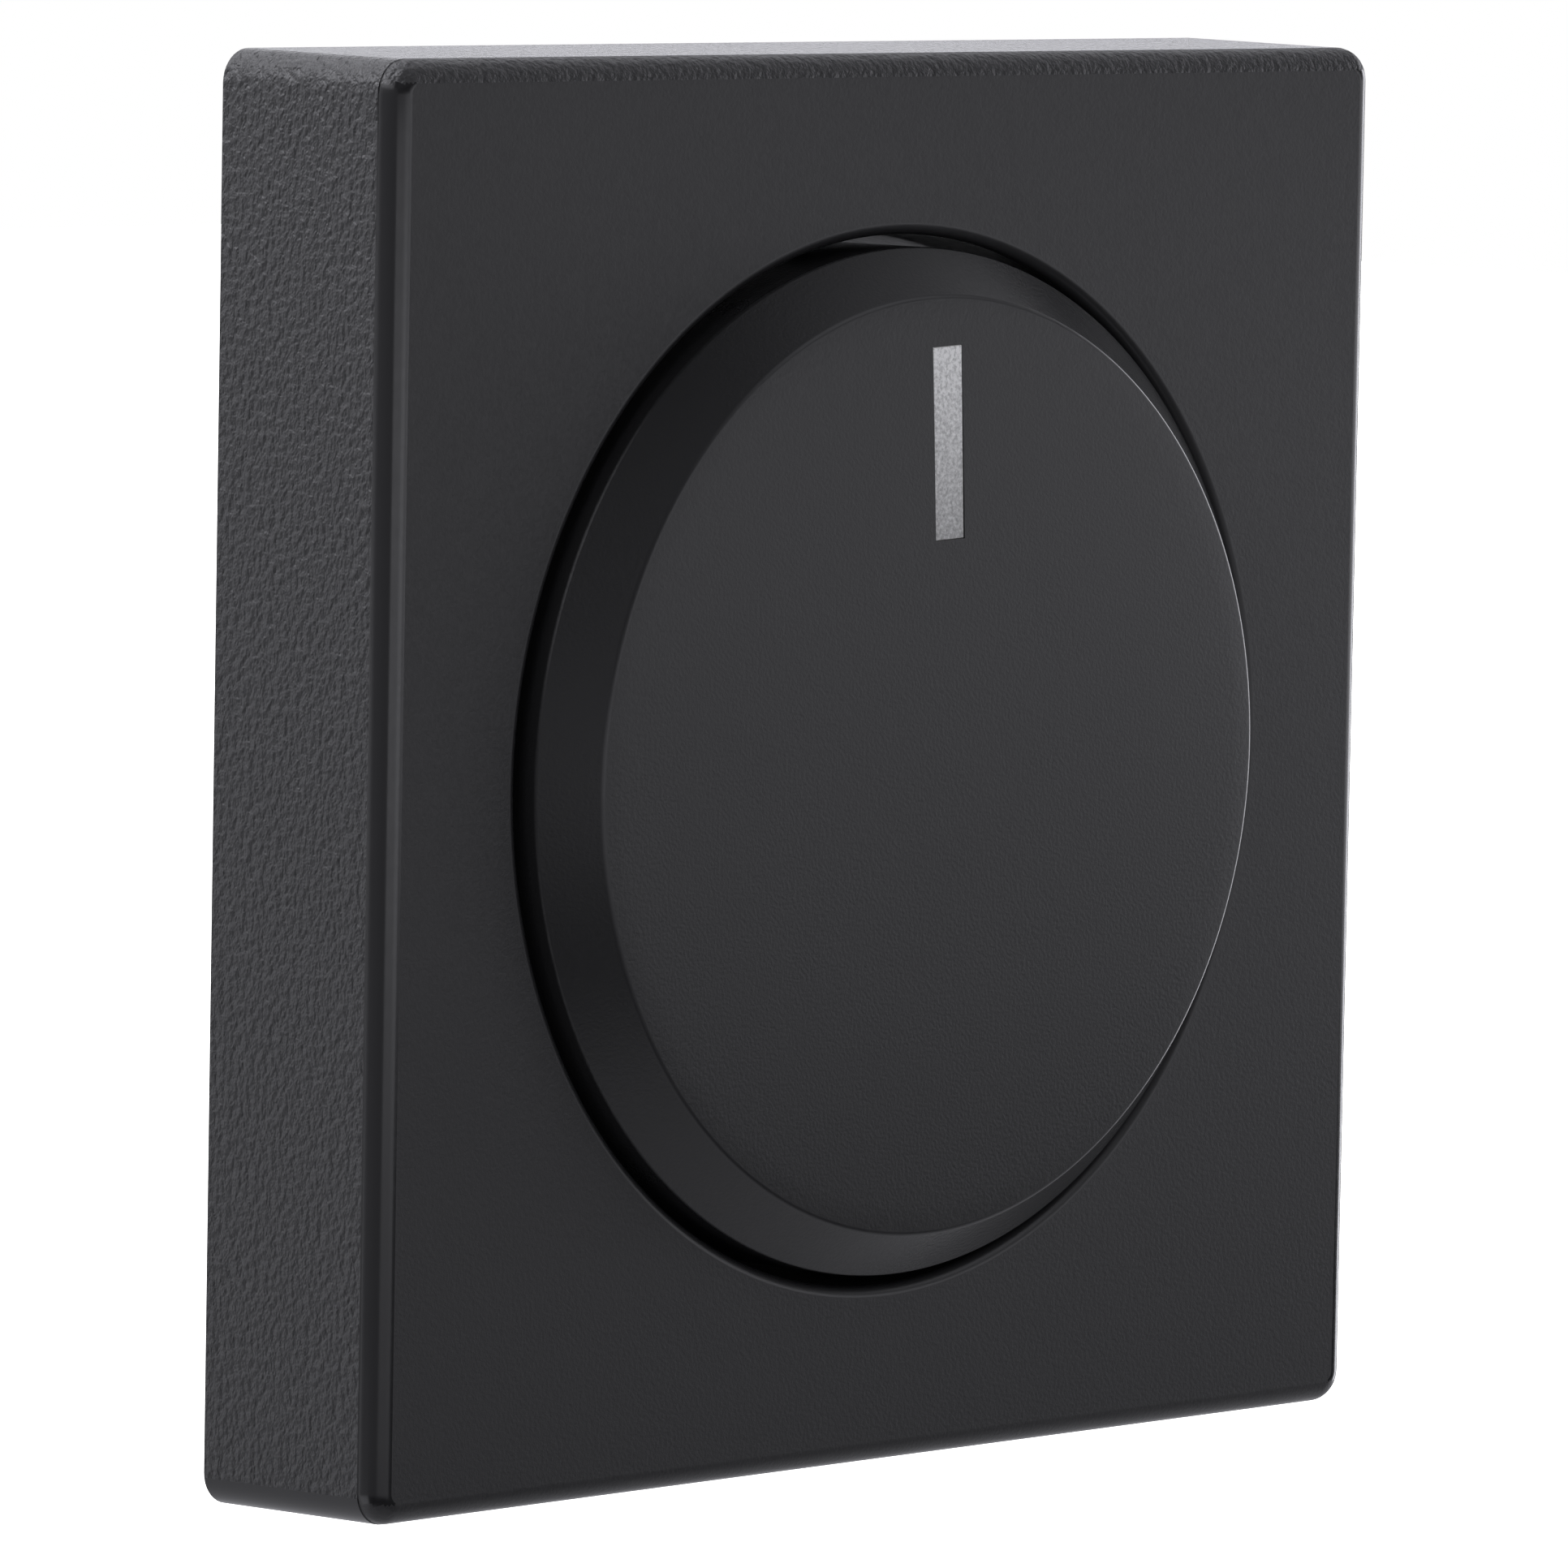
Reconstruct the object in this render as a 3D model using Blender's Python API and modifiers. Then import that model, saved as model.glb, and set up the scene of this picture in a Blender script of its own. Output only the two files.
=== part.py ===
"""Square wall control with a large push-and-turn knob, a plug-in rotary control.

Everything is modelled lying on its back and stood up by one parent empty: a piece's own x is the
object's X, its own y is the object's Z, and its own z is the height in front of the wall. The wall
plane is height 0, the knob's face is the highest point, and what plugs into the wall has negative
heights. The knob's axis passes through the origin, so every moving piece has its origin on it.
"""
import math

import bmesh
import bpy
from mathutils import Matrix

MM = 0.001
GAP = 0.3 * MM  # between pieces that touch
RUNNING_GAP = 0.06 * MM  # between the shaft and what turns or slides on it

# Cover plate
PLATE_SIDE = 55 * MM
PLATE_REAR_SIDE = 55.3 * MM  # the sides lean out a little towards the wall
PLATE_DEPTH = 9.2 * MM
PLATE_FRONT_WALL = 2.0 * MM
PLATE_SIDE_WALL = 1.8 * MM
PLATE_CORNER_RADIUS = 1.3 * MM
PLATE_FRONT_RADIUS = 0.9 * MM
OPENING_RADIUS = 20.7 * MM
OPENING_EDGE_RADIUS = 0.45 * MM
COLLAR_WALL = 1.2 * MM
COLLAR_REAR = 0.5 * MM

# Knob
KNOB_RADIUS = 20.05 * MM
KNOB_RIM_HEIGHT = 9.65 * MM
KNOB_FACE_RADIUS = 18.15 * MM
KNOB_FACE_HEIGHT = 11.6 * MM
KNOB_WALL = 1.5 * MM
KNOB_SKIRT_REAR = 4.2 * MM
KNOB_EDGE_RADIUS = 0.15 * MM
KNOB_TRAVEL = 0.8 * MM
HUB_RADIUS = 4.6 * MM
POINTER_WIDTH = 1.6 * MM
POINTER_LENGTH = 7.5 * MM
POINTER_MIDDLE = 12.55 * MM  # above the knob's axis
POINTER_FLANGE_EDGE = 0.9 * MM
POINTER_FLANGE_THICKNESS = 0.4 * MM

# Shaft, its bearing and its clip
SHAFT_RADIUS = 3.0 * MM
SHAFT_FLAT = 1.5 * MM  # from the axis to the flat of the D
SHAFT_REAR = 0.6 * MM
GROOVE_RADIUS = 2.3 * MM
CLIP_THICKNESS = 0.35 * MM
CLIP_RADIUS = 4.0 * MM
BUSH_WALL = 0.9 * MM
BUSH_FLANGE_RADIUS = 5.2 * MM
BUSH_FLANGE_THICKNESS = 0.5 * MM

# Housing between the knob's skirt and the shaft, with four arms to the plate's corners
HOUSING_RADIUS = 17.4 * MM
HOUSING_WALL = 1.4 * MM
HOUSING_FRONT = 8.0 * MM
HOUSING_REAR = -7.4 * MM
HOUSING_OPENING_RADIUS = 5.9 * MM
CHANNEL_INNER_RADIUS = 8.4 * MM  # of the channel that holds the light ring
CHANNEL_DEPTH = 1.2 * MM
ARM_WIDTH = 4.0 * MM
ARM_LOW = 1.6 * MM
ARM_THICKNESS = 1.4 * MM
ARM_PAD_RADIUS = 2.8 * MM
APRON_RADIUS = 22.0 * MM  # of the shelf behind the lower half of the plate's collar
APRON_LOW = -0.5 * MM
APRON_TOP_EDGE = -7.0 * MM  # along Z
CORNER_SCREW_PLACE = 21.0 * MM  # along X and along Z
POST_RADIUS = 1.7 * MM
POST_PLACE = 9.6 * MM  # along X and along Z

# Potentiometer
CAN_SIDE = 16.0 * MM
CAN_WALL = 0.8 * MM
CAN_FRONT = 3.9 * MM
CAN_REAR = -1.9 * MM
ROTOR_RADIUS = 6.4 * MM
ROTOR_LOW = 0.5 * MM
ROTOR_THICKNESS = 0.9 * MM
WIPER_INNER_RADIUS = 4.9 * MM
WIPER_THICKNESS = 0.25 * MM
TRACK_INNER_RADIUS = 5.0 * MM
TRACK_OUTER_RADIUS = 6.9 * MM
TRACK_ANGLE = math.radians(300)
TRACK_THICKNESS = 0.2 * MM
TRACK_HIGH = -0.6 * MM
TRACK_BOARD_THICKNESS = 0.7 * MM
TERMINAL_PITCH = 2.5 * MM
TERMINAL_SIDE = 0.5 * MM
TERMINAL_PLACE = -6.0 * MM
TERMINAL_REAR = -5.2 * MM

# Push switch behind the shaft
SWITCH_SIDE = 6.0 * MM
SWITCH_HIGH = -0.5 * MM
PLUNGER_RADIUS = 1.6 * MM
PLUNGER_LENGTH = 1.1 * MM

# Circuit board and what it carries
BOARD_RADIUS = 15.6 * MM
BOARD_HIGH = -2.4 * MM
BOARD_THICKNESS = 1.0 * MM
LED_PLACE = 12.2 * MM
LED_SIDE = 1.8 * MM
LED_HEIGHT = 0.9 * MM
LIGHT_RING_THICKNESS = 1.0 * MM
LIGHT_PEG_RADIUS = 1.1 * MM
HEADER_WIDTH = 8.6 * MM
HEADER_HEIGHT = 5.6 * MM
HEADER_REAR = -8.0 * MM
PIN_PITCH = 2.54 * MM
PIN_SIDE = 0.64 * MM
PIN_REAR = -11.0 * MM
CHIP_SIDE = 5.0 * MM
CHIP_HEIGHT = 0.9 * MM
CAPACITOR_RADIUS = 2.0 * MM
CAPACITOR_HEIGHT = 2.2 * MM

# Rear cover, screws and springs
COVER_THICKNESS = 1.2 * MM
REAR_SCREW_RADIUS = 0.7 * MM
REAR_HEAD_RADIUS = 1.4 * MM
REAR_SCREW_TIP = 1.0 * MM
PLATE_SCREW_RADIUS = 0.9 * MM
PLATE_HEAD_RADIUS = 1.9 * MM
PLATE_SCREW_TIP = 6.4 * MM
SCREW_HEAD_THICKNESS = 0.95 * MM
CROSS_WIDTH = 0.4 * MM
CROSS_DEPTH = 0.5 * MM
SPRING_WIDTH = 6.0 * MM
SPRING_THICKNESS = 0.3 * MM
SPRING_BULGE = 1.9 * MM
SPRING_HIGH = -0.8 * MM
SPRING_LOW = -6.6 * MM

FINE = 64  # segments round the knob, its opening and the housing
MEDIUM = 32  # segments round the shaft and the rings
COARSE = 14  # segments round screws and pegs
THROUGH = 0.1 * MM  # how far a cutter passes a face
DIAGONALS = [(1, 1), (-1, 1), (-1, -1), (1, -1)]
SIDES = [(1, 0), (0, 1), (-1, 0), (0, -1)]


# ---------------------------------------------------------------- scene, materials and helpers

def clear_scene():
    for thing in list(bpy.data.objects):
        bpy.data.objects.remove(thing, do_unlink=True)


def new_collection(name):
    collection = bpy.data.collections.new(name)
    bpy.context.scene.collection.children.link(collection)
    return collection


def material(name, colour, roughness, metallic=0.0):
    made = bpy.data.materials.new(name)
    made.use_nodes = True
    shader = made.node_tree.nodes["Principled BSDF"]
    shader.inputs["Base Color"].default_value = (*colour, 1.0)
    shader.inputs["Roughness"].default_value = roughness
    shader.inputs["Metallic"].default_value = metallic
    return made


clear_scene()
PARTS = new_collection("wall_rotary_control")
CUTTERS = new_collection("cutters")
UPRIGHT = bpy.data.objects.new("wall_frame", None)
UPRIGHT.rotation_euler = (math.radians(90), 0, 0)
PARTS.objects.link(UPRIGHT)

ANTHRACITE = material("anthracite_plastic", (0.036, 0.036, 0.039), 0.55)
BLACK_PLASTIC = material("black_plastic", (0.02, 0.02, 0.02), 0.5)
GREY_PLASTIC = material("grey_plastic", (0.3, 0.31, 0.32), 0.5)
FROSTED = material("frosted_lens", (0.6, 0.6, 0.6), 0.45)
STEEL = material("steel", (0.6, 0.6, 0.6), 0.3, 1.0)
BRASS = material("brass", (0.75, 0.55, 0.25), 0.3, 1.0)
TIN = material("tinned_pins", (0.78, 0.76, 0.72), 0.3, 1.0)
BOARD_GREEN = material("circuit_board_green", (0.02, 0.14, 0.06), 0.45)
PHENOLIC = material("phenolic_brown", (0.25, 0.12, 0.05), 0.6)
CARBON = material("carbon_track", (0.015, 0.015, 0.016), 0.4)
LED_WHITE = material("led_white", (0.85, 0.85, 0.8), 0.3)


def place(name, mesh, look=None):
    """A part when it has a look, and otherwise a cutter."""
    made = bpy.data.objects.new(name, mesh)
    made.parent = UPRIGHT
    if look is None:
        CUTTERS.objects.link(made)
        made.hide_render = True
        made.display_type = "WIRE"
    else:
        PARTS.objects.link(made)
        mesh.materials.append(look)
    return made


def from_bmesh(name, shape, look=None, smooth_angle=30):
    mesh = bpy.data.meshes.new(name)
    shape.to_mesh(mesh)
    shape.free()
    mesh.shade_smooth()
    mesh.set_sharp_from_angle(angle=math.radians(smooth_angle))
    return place(name, mesh, look)


def add_cylinder(shape, radius, low, high, x=0.0, y=0.0, segments=COARSE):
    middle = Matrix.Translation((x, y, (low + high) / 2))
    bmesh.ops.create_cone(shape, cap_ends=True, segments=segments, radius1=radius,
                          radius2=radius, depth=high - low, matrix=middle)


def add_box(shape, width, length, low, high, x=0.0, y=0.0, angle=0.0):
    matrix = (Matrix.Translation((x, y, (low + high) / 2)) @ Matrix.Rotation(angle, 4, "Z")
              @ Matrix.Diagonal((width, length, high - low, 1)))
    return bmesh.ops.create_cube(shape, size=1, matrix=matrix)["verts"]


def cylinder(name, radius, low, high, look=None, x=0.0, y=0.0, segments=COARSE):
    shape = bmesh.new()
    add_cylinder(shape, radius, low, high, x, y, segments)
    return from_bmesh(name, shape, look)


def box(name, width, length, low, high, look=None, x=0.0, y=0.0, angle=0.0):
    shape = bmesh.new()
    add_box(shape, width, length, low, high, x, y, angle)
    return from_bmesh(name, shape, look)


def arc(radius, x, z, start, end, steps):
    """Points of an arc round (x, z), with the angles in degrees."""
    angles = [math.radians(start + (end - start) * i / steps) for i in range(steps + 1)]
    return [(x + radius * math.cos(a), z + radius * math.sin(a)) for a in angles]


def turned(name, profile, look=None, segments=MEDIUM):
    """Turn a profile of (radius, height) points, listed down its outer side, into a solid."""
    closed = min(radius for radius, _ in profile) > 0
    mesh = bpy.data.meshes.new(name)
    points = [(radius, 0, height) for radius, height in profile]
    edges = [(i, i + 1) for i in range(len(points) - 1)]
    if closed:
        edges.append((len(points) - 1, 0))
    mesh.from_pydata(points, edges, [])
    made = place(name, mesh, look)
    screw = made.modifiers.new("turn", "SCREW")
    screw.axis = "Z"
    screw.steps = segments
    screw.render_steps = segments
    screw.use_merge_vertices = True
    screw.merge_threshold = 0.00001
    return made


def tube(name, inner, outer, low, high, look=None, segments=MEDIUM):
    profile = [(inner, high), (outer, high), (outer, low), (inner, low)]
    return turned(name, profile, look, segments)


def combine(target, operand, operation):
    boolean = target.modifiers.new(operand.name, "BOOLEAN")
    boolean.operation = operation
    boolean.solver = "EXACT"
    boolean.object = operand


def cut(target, *cutters):
    for cutter in cutters:
        combine(target, cutter, "DIFFERENCE")


def join(target, *additions):
    for addition in additions:
        combine(target, addition, "UNION")


def d_section(name, clearance, low, high):
    """Cutter for a D-shaped bore that fits the shaft's flat."""
    bore = cylinder(name, SHAFT_RADIUS + clearance, low, high, segments=MEDIUM)
    flat = SHAFT_FLAT + clearance
    beyond = box(name + "_flat", SHAFT_RADIUS, 3 * SHAFT_RADIUS, low - THROUGH, high + THROUGH,
                 x=flat + SHAFT_RADIUS / 2)
    cut(bore, beyond)
    return bore


# ---------------------------------------------------------------- cover plate

def rounded_block(name, side, low, high, corner_radius, front_radius=0.0, look=None,
                  rear_side=None):
    """A square block with rounded corners, and a rounded front edge and leaning sides if asked."""
    shape = bmesh.new()
    add_box(shape, side, side, low, high)
    upright = [e for e in shape.edges if abs(e.verts[0].co.z - e.verts[1].co.z) > THROUGH]
    bmesh.ops.bevel(shape, geom=upright, offset=corner_radius, segments=5, affect="EDGES",
                    profile=0.5)
    if front_radius:
        rim = [e for e in shape.edges if min(v.co.z for v in e.verts) > high - THROUGH]
        bmesh.ops.bevel(shape, geom=rim, offset=front_radius, segments=4, affect="EDGES",
                        profile=0.5)
    if rear_side:
        for vertex in shape.verts:
            growth = (rear_side / side - 1) * (high - vertex.co.z) / (high - low)
            vertex.co.x *= 1 + growth
            vertex.co.y *= 1 + growth
    return from_bmesh(name, shape, look)


def make_cover_plate():
    plate = rounded_block("cover_plate", PLATE_SIDE, 0, PLATE_DEPTH, PLATE_CORNER_RADIUS,
                          PLATE_FRONT_RADIUS, ANTHRACITE, PLATE_REAR_SIDE)

    # the hollow leaves the collar and the four screw bosses standing
    ceiling = PLATE_DEPTH - PLATE_FRONT_WALL
    hollow = rounded_block("plate_hollow", PLATE_SIDE - 2 * PLATE_SIDE_WALL, -THROUGH, ceiling,
                           PLATE_CORNER_RADIUS / 2)
    collar = cylinder("collar_outside", OPENING_RADIUS + COLLAR_WALL, COLLAR_REAR,
                      ceiling + THROUGH, segments=FINE)
    boss_low = ARM_LOW + ARM_THICKNESS + GAP
    bosses = bmesh.new()
    pilots = bmesh.new()
    for x, y in DIAGONALS:
        where = {"x": x * CORNER_SCREW_PLACE, "y": y * CORNER_SCREW_PLACE}
        add_cylinder(bosses, ARM_PAD_RADIUS, boss_low, ceiling + THROUGH, **where)
        add_cylinder(pilots, PLATE_SCREW_RADIUS + GAP, boss_low - THROUGH,
                     PLATE_SCREW_TIP + GAP, **where)
    cut(hollow, collar, from_bmesh("plate_bosses", bosses))

    # the opening for the knob, with its front edge rounded
    edge = arc(OPENING_EDGE_RADIUS, OPENING_RADIUS + OPENING_EDGE_RADIUS,
               PLATE_DEPTH - OPENING_EDGE_RADIUS, 90, 180, 3)
    beyond = [(0, PLATE_DEPTH + THROUGH), (edge[0][0], PLATE_DEPTH + THROUGH)]
    opening = turned("knob_opening", beyond + edge + [(OPENING_RADIUS, -THROUGH), (0, -THROUGH)],
                     segments=FINE)

    # notches where the housing's arms cross the collar
    notches = bmesh.new()
    for x, y in DIAGONALS:
        add_box(notches, 5 * COLLAR_WALL, ARM_WIDTH + 2 * GAP, -THROUGH, boss_low,
                x * OPENING_RADIUS * math.sqrt(0.5), y * OPENING_RADIUS * math.sqrt(0.5),
                math.atan2(y, x))
    cut(plate, hollow, opening, from_bmesh("collar_notches", notches),
        from_bmesh("plate_pilots", pilots))


# ---------------------------------------------------------------- knob

def make_knob_cap():
    inside = KNOB_FACE_HEIGHT - KNOB_WALL
    inner_radius = KNOB_RADIUS - KNOB_WALL
    slope = math.degrees(math.atan2(KNOB_RADIUS - KNOB_FACE_RADIUS,
                                    KNOB_FACE_HEIGHT - KNOB_RIM_HEIGHT))
    hub_rear = CAN_FRONT + GAP + BUSH_FLANGE_THICKNESS + GAP + KNOB_TRAVEL
    face_edge = arc(KNOB_EDGE_RADIUS, KNOB_FACE_RADIUS - KNOB_EDGE_RADIUS,
                    KNOB_FACE_HEIGHT - KNOB_EDGE_RADIUS, 90, slope, 2)
    rim_edge = arc(KNOB_EDGE_RADIUS, KNOB_RADIUS - KNOB_EDGE_RADIUS, KNOB_RIM_HEIGHT,
                   slope, 0, 2)
    inner_top = KNOB_FACE_RADIUS - KNOB_WALL / 2
    profile = [(0, KNOB_FACE_HEIGHT)] + face_edge + rim_edge
    profile += [(KNOB_RADIUS, KNOB_SKIRT_REAR), (inner_radius, KNOB_SKIRT_REAR),
                (inner_radius, KNOB_RIM_HEIGHT - KNOB_WALL / 2), (inner_top, inside),
                (HUB_RADIUS, inside), (HUB_RADIUS, hub_rear), (0, hub_rear)]
    knob = turned("knob_cap", profile, ANTHRACITE, FINE)

    bore_end = inside - 2 * GAP
    bore = d_section("knob_bore", RUNNING_GAP, hub_rear - THROUGH, bore_end + GAP)
    slit = box("hub_slit", 0.8 * MM, 3 * HUB_RADIUS, hub_rear - THROUGH, inside - 4 * GAP)
    window = box("pointer_window", POINTER_WIDTH + 2 * GAP, POINTER_LENGTH + 2 * GAP,
                 inside - THROUGH, KNOB_FACE_HEIGHT + THROUGH, y=POINTER_MIDDLE)
    cut(knob, bore, slit, window)


def make_pointer_lens():
    inside = KNOB_FACE_HEIGHT - KNOB_WALL
    flange_high = inside - GAP
    lens = box("pointer_lens", POINTER_WIDTH, POINTER_LENGTH, flange_high - THROUGH,
               KNOB_FACE_HEIGHT, FROSTED, y=POINTER_MIDDLE)
    flange = box("pointer_flange", POINTER_WIDTH + 2 * POINTER_FLANGE_EDGE,
                 POINTER_LENGTH + 2 * POINTER_FLANGE_EDGE,
                 flange_high - POINTER_FLANGE_THICKNESS, flange_high, y=POINTER_MIDDLE)
    join(lens, flange)


def open_ring(name, radius, wire_radius, height, gap_angle, look):
    """A spring ring bent from round wire, open on one side."""
    curve = bpy.data.curves.new(name, "CURVE")
    curve.dimensions = "3D"
    curve.bevel_depth = wire_radius
    curve.bevel_resolution = 2
    curve.use_fill_caps = True
    count = 25
    line = curve.splines.new("POLY")
    line.points.add(count - 1)
    start = gap_angle / 2
    for i, point in enumerate(line.points):
        angle = start + (2 * math.pi - gap_angle) * i / (count - 1)
        point.co = (radius * math.cos(angle), radius * math.sin(angle), height, 1)
    made = bpy.data.objects.new(name, curve)
    made.parent = UPRIGHT
    PARTS.objects.link(made)
    curve.materials.append(look)
    return made


def make_shaft_group():
    # the shaft, turned with a groove for its clip and flatted for the knob and for the rotor
    shaft_front = KNOB_FACE_HEIGHT - KNOB_WALL - 2 * GAP
    groove_high = CAN_FRONT - CAN_WALL
    groove_low = groove_high - 0.8 * MM
    profile = [(0, shaft_front), (SHAFT_RADIUS, shaft_front), (SHAFT_RADIUS, groove_high),
               (GROOVE_RADIUS, groove_high), (GROOVE_RADIUS, groove_low),
               (SHAFT_RADIUS, groove_low), (SHAFT_RADIUS, SHAFT_REAR), (0, SHAFT_REAR)]
    shaft = turned("shaft", profile, STEEL, MEDIUM)
    front_flat_low = CAN_FRONT + GAP + BUSH_FLANGE_THICKNESS + GAP + KNOB_TRAVEL
    for name, low, high in (("front_flat", front_flat_low, shaft_front + THROUGH),
                            ("rear_flat", SHAFT_REAR - THROUGH, groove_low + THROUGH)):
        cut(shaft, box(name, SHAFT_RADIUS, 3 * SHAFT_RADIUS, low, high,
                       x=SHAFT_FLAT + SHAFT_RADIUS / 2))

    # the retaining clip, a flat ring with an open side
    clip_high = groove_high - 0.25 * MM
    clip = tube("shaft_clip", GROOVE_RADIUS + GAP, CLIP_RADIUS, clip_high - CLIP_THICKNESS,
                clip_high, STEEL)
    cut(clip, box("clip_mouth", CLIP_RADIUS, 3 * MM, clip_high - 2 * CLIP_THICKNESS,
                  clip_high + THROUGH, x=-CLIP_RADIUS * 0.9))

    # the bearing bush, with its flange in front of the potentiometer's can
    inner = SHAFT_RADIUS + RUNNING_GAP
    outer = inner + BUSH_WALL
    flange_low = CAN_FRONT + GAP
    flange_high = flange_low + BUSH_FLANGE_THICKNESS
    bush_low = CAN_FRONT - CAN_WALL + THROUGH
    turned("shaft_bush", [(inner, flange_high), (BUSH_FLANGE_RADIUS, flange_high),
                          (BUSH_FLANGE_RADIUS, flange_low), (outer, flange_low),
                          (outer, bush_low), (inner, bush_low)], BRASS)

    wire_radius = 0.3 * MM
    open_ring("hub_tension_ring", HUB_RADIUS + GAP + wire_radius, wire_radius,
              HOUSING_FRONT - HOUSING_WALL, math.radians(40), STEEL)


# ---------------------------------------------------------------- potentiometer and push switch

def make_potentiometer():
    can = rounded_block("potentiometer_can", CAN_SIDE, CAN_REAR, CAN_FRONT, 1.0 * MM,
                        look=STEEL)
    room = rounded_block("can_room", CAN_SIDE - 2 * CAN_WALL, CAN_REAR - THROUGH,
                         CAN_FRONT - CAN_WALL, 0.5 * MM)
    hole = cylinder("bush_hole", SHAFT_RADIUS + RUNNING_GAP + BUSH_WALL + GAP,
                    CAN_FRONT - 2 * CAN_WALL, CAN_FRONT + THROUGH, segments=MEDIUM)
    cut(can, room, hole)

    rotor_high = ROTOR_LOW + ROTOR_THICKNESS
    rotor = cylinder("wiper_rotor", ROTOR_RADIUS, ROTOR_LOW, rotor_high, BLACK_PLASTIC,
                     segments=MEDIUM)
    cut(rotor, d_section("rotor_bore", RUNNING_GAP, ROTOR_LOW - THROUGH,
                         rotor_high + THROUGH))

    # the wiper: half a flat ring with a raised contact at each end, facing the track
    wiper_high = ROTOR_LOW - GAP
    wiper_low = wiper_high - WIPER_THICKNESS
    wiper = tube("wiper_contact", WIPER_INNER_RADIUS, ROTOR_RADIUS, wiper_low, wiper_high,
                 BRASS)
    cut(wiper, box("wiper_half", 3 * ROTOR_RADIUS, 2 * ROTOR_RADIUS, wiper_low - THROUGH,
                   wiper_high + THROUGH, y=-ROTOR_RADIUS * 0.8))
    contacts = bmesh.new()
    middle_radius = (WIPER_INNER_RADIUS + ROTOR_RADIUS) / 2
    for side in (-1, 1):
        angle = math.radians(90 + 50 * side)
        add_cylinder(contacts, 0.4 * MM, wiper_low - GAP / 2, wiper_high - THROUGH,
                     middle_radius * math.cos(angle), middle_radius * math.sin(angle))
    join(wiper, from_bmesh("wiper_points", contacts))

    # the carbon track is open at the bottom, where the terminals are
    track = tube("resistance_track", TRACK_INNER_RADIUS, TRACK_OUTER_RADIUS,
                 TRACK_HIGH - TRACK_THICKNESS, TRACK_HIGH, CARBON, FINE)
    half_open = TRACK_OUTER_RADIUS * math.sin((2 * math.pi - TRACK_ANGLE) / 2)
    cut(track, box("track_gap", 2 * half_open, TRACK_OUTER_RADIUS, TRACK_HIGH - GAP,
                   TRACK_HIGH + THROUGH, y=-TRACK_OUTER_RADIUS))

    board_high = TRACK_HIGH - TRACK_THICKNESS - GAP
    board_low = board_high - TRACK_BOARD_THICKNESS
    board = rounded_block("track_board", CAN_SIDE - 2 * CAN_WALL - 2 * GAP, board_low,
                          board_high, 0.5 * MM, look=PHENOLIC)
    holes = bmesh.new()
    add_cylinder(holes, TRACK_INNER_RADIUS - 0.4 * MM, board_low - THROUGH,
                 board_high + THROUGH, segments=MEDIUM)
    for place_x in terminal_places():
        add_box(holes, TERMINAL_SIDE + 2 * GAP, TERMINAL_SIDE + 2 * GAP, board_low - THROUGH,
                board_high + THROUGH, place_x, TERMINAL_PLACE)
    cut(board, from_bmesh("track_board_holes", holes))

    for number, place_x in enumerate(terminal_places(), 1):
        box(f"potentiometer_terminal_{number}", TERMINAL_SIDE, TERMINAL_SIDE, TERMINAL_REAR,
            TRACK_HIGH - TRACK_THICKNESS, TIN, place_x, TERMINAL_PLACE)


def terminal_places():
    return [-TERMINAL_PITCH, 0, TERMINAL_PITCH]


def make_push_switch():
    body_low = BOARD_HIGH + GAP
    body = rounded_block("switch_body", SWITCH_SIDE, body_low, SWITCH_HIGH, 0.3 * MM,
                         look=GREY_PLASTIC)
    plunger_high = SHAFT_REAR - GAP
    plunger_low = plunger_high - PLUNGER_LENGTH
    cut(body, cylinder("plunger_pocket", PLUNGER_RADIUS + GAP, plunger_low - KNOB_TRAVEL - GAP / 2,
                       SWITCH_HIGH + THROUGH))
    cylinder("switch_plunger", PLUNGER_RADIUS, plunger_low, plunger_high, BLACK_PLASTIC)


# ---------------------------------------------------------------- housing and light ring

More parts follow.
